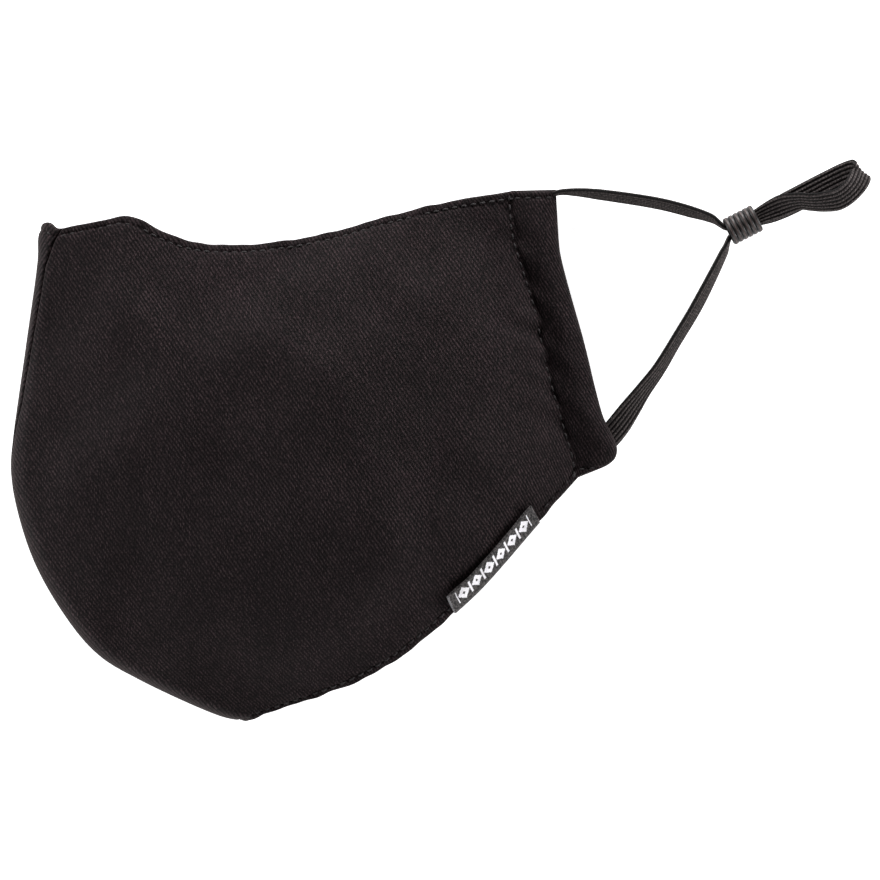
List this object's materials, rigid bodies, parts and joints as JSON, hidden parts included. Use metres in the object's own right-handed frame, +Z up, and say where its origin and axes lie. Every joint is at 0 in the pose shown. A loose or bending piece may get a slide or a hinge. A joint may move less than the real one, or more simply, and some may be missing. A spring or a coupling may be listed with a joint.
{
  "type": "cloth face mask",
  "caption": "Contoured cloth face mask folded in half on its centre seam and lying on its side, with elastic ear loops, rubber sliders and an edge label.",
  "frame": {"origin": "on the surface that the mask lies on, under the middle of the folded cloth's outline", "axes": "+X from the centre fold towards the ears, +Y from the chin towards the nose, +Z up, out of the left panel"},
  "size_m": [0.1772, 0.1159, 0.0207],
  "materials": {
    "twill": "matt cotton twill",
    "elastic": "ribbed knitted elastic",
    "slider_rubber": "satin silicone rubber",
    "label_weave": "satin woven label"
  },
  "bodies": {
    "root": {"left_panel": "twill", "right_panel": "twill", "left_side_hem": "twill", "right_side_hem": "twill", "left_ear_loop": "elastic", "right_ear_loop": "elastic", "left_cord_slider": "slider_rubber", "right_cord_slider": "slider_rubber", "edge_label": "label_weave"}
  },
  "joints": []
}
